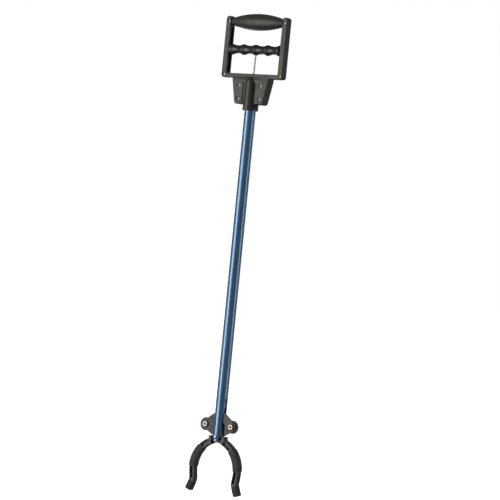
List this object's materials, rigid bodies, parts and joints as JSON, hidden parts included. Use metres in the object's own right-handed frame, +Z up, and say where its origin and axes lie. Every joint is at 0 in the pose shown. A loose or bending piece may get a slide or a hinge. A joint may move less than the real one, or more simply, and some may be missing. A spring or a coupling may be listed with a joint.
{
  "type": "pick-up reacher",
  "caption": "Hand-held pick-up reacher: D handle with fusiform palm grip and sliding scalloped finger bar, slim tube, pull rod, and scissor jaws with rubber sleeves.",
  "frame": {"origin": "centre of the palm grip, on the axis of the tube", "axes": "+Z up the tube from the jaws to the palm grip, X across the handle and in the plane in which the jaws open, -Y towards the front shell"},
  "size_m": [0.1236, 0.028, 0.7913],
  "materials": {
    "handle_plastic": "moulded black, fine satin",
    "bar_plastic": "moulded black, satin",
    "jaw_plastic": "moulded black, satin",
    "grip_rubber": "soft matte",
    "sleeve_rubber": "matte",
    "tip_rubber": "matte",
    "tube_blue": "satin blue anodised",
    "steel": "bright plated",
    "plain_alloy": "machined, plain",
    "rod_steel": "bright drawn",
    "rivet_steel": "nickel plated",
    "pivot_metal": "blue anodised head",
    "acetal": "smooth"
  },
  "bodies": {
    "frame": {"front_shell": "handle_plastic", "rear_shell": "handle_plastic", "palm_grip": "grip_rubber", "grip_core": "plain_alloy", "corner_screws": "steel", "yoke_screws": "steel", "return_spring": "rod_steel", "upper_bush": "acetal", "lower_bush": "acetal", "tube": "tube_blue", "tube_dowels": "steel", "pivot_pin": "pivot_metal", "pivot_spacers": "acetal"},
    "slider": {"finger_bar": "bar_plastic", "left_guide_shoe": "acetal", "right_guide_shoe": "acetal", "rod_nut": "steel", "pull_rod": "rod_steel", "spring_stop": "acetal", "clevis": "plain_alloy", "clevis_pin": "steel", "lock_nut": "steel"},
    "left_jaw": {"left_jaw": "jaw_plastic", "left_sleeve": "sleeve_rubber", "left_tip": "tip_rubber", "right_ear_rivet": "rivet_steel"},
    "right_jaw": {"right_jaw": "jaw_plastic", "right_sleeve": "sleeve_rubber", "right_tip": "tip_rubber", "left_ear_rivet": "rivet_steel"},
    "left_link": {"left_link": "jaw_plastic"},
    "right_link": {"right_link": "jaw_plastic"}
  },
  "joints": [
    {"name": "finger_bar_slide", "type": "slide", "parent": "frame", "child": "slider", "axis": [0, 0, 1], "range_m": [0, 0.018], "stiffness_N_per_m": 450, "springref_m": -0.012, "deforming": ["return_spring"]},
    {"name": "left_jaw_hinge", "type": "hinge", "parent": "frame", "child": "left_jaw", "pos_m": [0, 0, -0.6838], "axis": [0, -1, 0], "range_deg": [0, 24.9]},
    {"name": "right_jaw_hinge", "type": "hinge", "parent": "frame", "child": "right_jaw", "pos_m": [0, 0, -0.6838], "axis": [0, 1, 0], "range_deg": [0, 24.9]},
    {"name": "left_link_hinge", "type": "hinge", "parent": "slider", "child": "left_link", "pos_m": [0, 0, -0.6426], "axis": [0, -1, 0], "range_deg": [0, 21.65]},
    {"name": "right_link_hinge", "type": "hinge", "parent": "slider", "child": "right_link", "pos_m": [0, 0, -0.6426], "axis": [0, 1, 0], "range_deg": [0, 21.65]}
  ],
  "couplings": [
    {"joint": "left_jaw_hinge", "follows": "finger_bar_slide", "rad_per_m": 24.14},
    {"joint": "right_jaw_hinge", "follows": "finger_bar_slide", "rad_per_m": 24.14},
    {"joint": "left_link_hinge", "follows": "finger_bar_slide", "rad_per_m": 20.99},
    {"joint": "right_link_hinge", "follows": "finger_bar_slide", "rad_per_m": 20.99}
  ]
}
